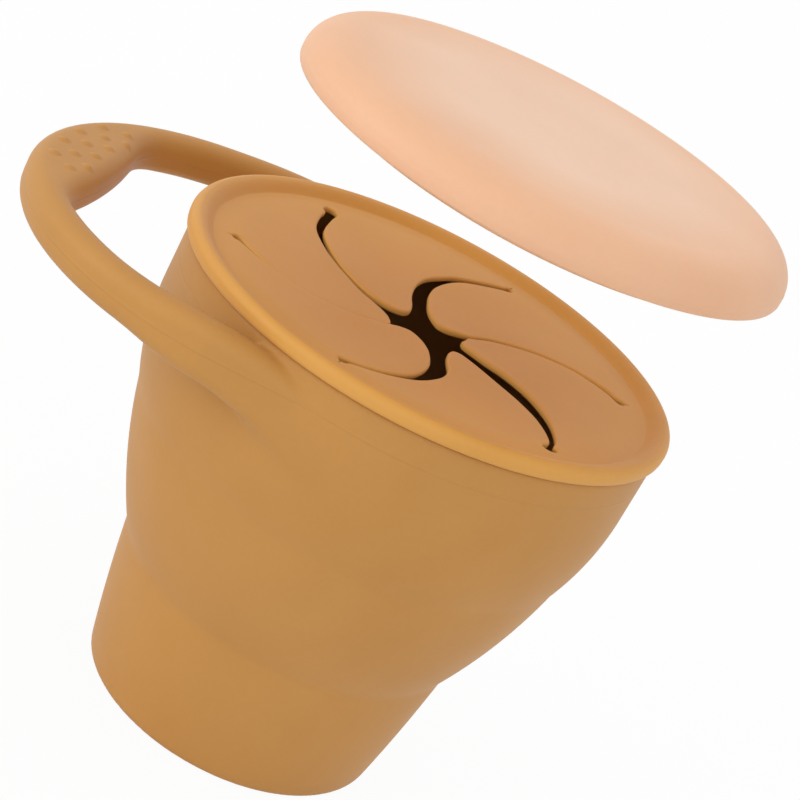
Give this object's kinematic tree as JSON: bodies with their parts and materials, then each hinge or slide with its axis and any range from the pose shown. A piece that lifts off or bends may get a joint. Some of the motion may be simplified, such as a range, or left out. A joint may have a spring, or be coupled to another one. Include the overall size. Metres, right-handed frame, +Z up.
{
  "type": "toddler snack container",
  "caption": "Soft tapered snack cup that folds down, with a loop handle and bumpy grip pad, a slit lid with curved petals, and a shallow round cover lifted off.",
  "frame": {"origin": "centre of the cup's flat foot, on the surface it stands on", "axes": "+Z up along the cup's axis, -X towards the loop handle"},
  "size_m": [0.1276, 0.095, 0.1286],
  "materials": {
    "cup_silicone": "matte",
    "lid_silicone": "matte",
    "cover_plastic": "matte, slightly translucent"
  },
  "bodies": {
    "base": {"base_cup": "cup_silicone", "fold_wall": "cup_silicone"},
    "upper": {"upper_wall": "cup_silicone", "handle": "cup_silicone"},
    "slit_lid": {"lid_ring": "lid_silicone"},
    "petal_1": {"petal_1": "lid_silicone"},
    "petal_2": {"petal_2": "lid_silicone"},
    "petal_3": {"petal_3": "lid_silicone"},
    "petal_4": {"petal_4": "lid_silicone"},
    "petal_5": {"petal_5": "lid_silicone"},
    "petal_6": {"petal_6": "lid_silicone"},
    "cover": {"cover": "cover_plastic"}
  },
  "joints": [
    {"name": "cup_collapse", "type": "slide", "parent": "base", "child": "upper", "axis": [0, 0, -1], "range_m": [0, 0.0455], "deforming": ["fold_wall"]},
    {"name": "slit_lid_lift", "type": "slide", "parent": "upper", "child": "slit_lid", "axis": [0, 0, 1], "range_m": [0, 0.03]},
    {"name": "petal_1_bend", "type": "hinge", "parent": "slit_lid", "child": "petal_1", "pos_m": [0.01967, 0.02544, 0.08489], "axis": [0.6493, -0.7606, 0], "range_deg": [0, 50], "stiffness_Nm_per_rad": 0.004},
    {"name": "petal_2_bend", "type": "hinge", "parent": "slit_lid", "child": "petal_2", "pos_m": [-0.0122, 0.02975, 0.08489], "axis": [0.9833, 0.182, 0], "range_deg": [0, 50], "stiffness_Nm_per_rad": 0.004},
    {"name": "petal_3_bend", "type": "hinge", "parent": "slit_lid", "child": "petal_3", "pos_m": [-0.03187, 0.00431, 0.08489], "axis": [0.334, 0.9426, 0], "range_deg": [0, 50], "stiffness_Nm_per_rad": 0.004},
    {"name": "petal_4_bend", "type": "hinge", "parent": "slit_lid", "child": "petal_4", "pos_m": [-0.01967, -0.02544, 0.08489], "axis": [-0.6493, 0.7606, 0], "range_deg": [0, 50], "stiffness_Nm_per_rad": 0.004},
    {"name": "petal_5_bend", "type": "hinge", "parent": "slit_lid", "child": "petal_5", "pos_m": [0.0122, -0.02975, 0.08489], "axis": [-0.9833, -0.182, 0], "range_deg": [0, 50], "stiffness_Nm_per_rad": 0.004},
    {"name": "petal_6_bend", "type": "hinge", "parent": "slit_lid", "child": "petal_6", "pos_m": [0.03187, -0.00431, 0.08489], "axis": [-0.334, -0.9426, 0], "range_deg": [0, 50], "stiffness_Nm_per_rad": 0.004},
    {"name": "cover_lift", "type": "slide", "parent": "slit_lid", "child": "cover", "axis": [0.1301, 0, 0.9915], "range_m": [-0.03197, 0.02]}
  ]
}
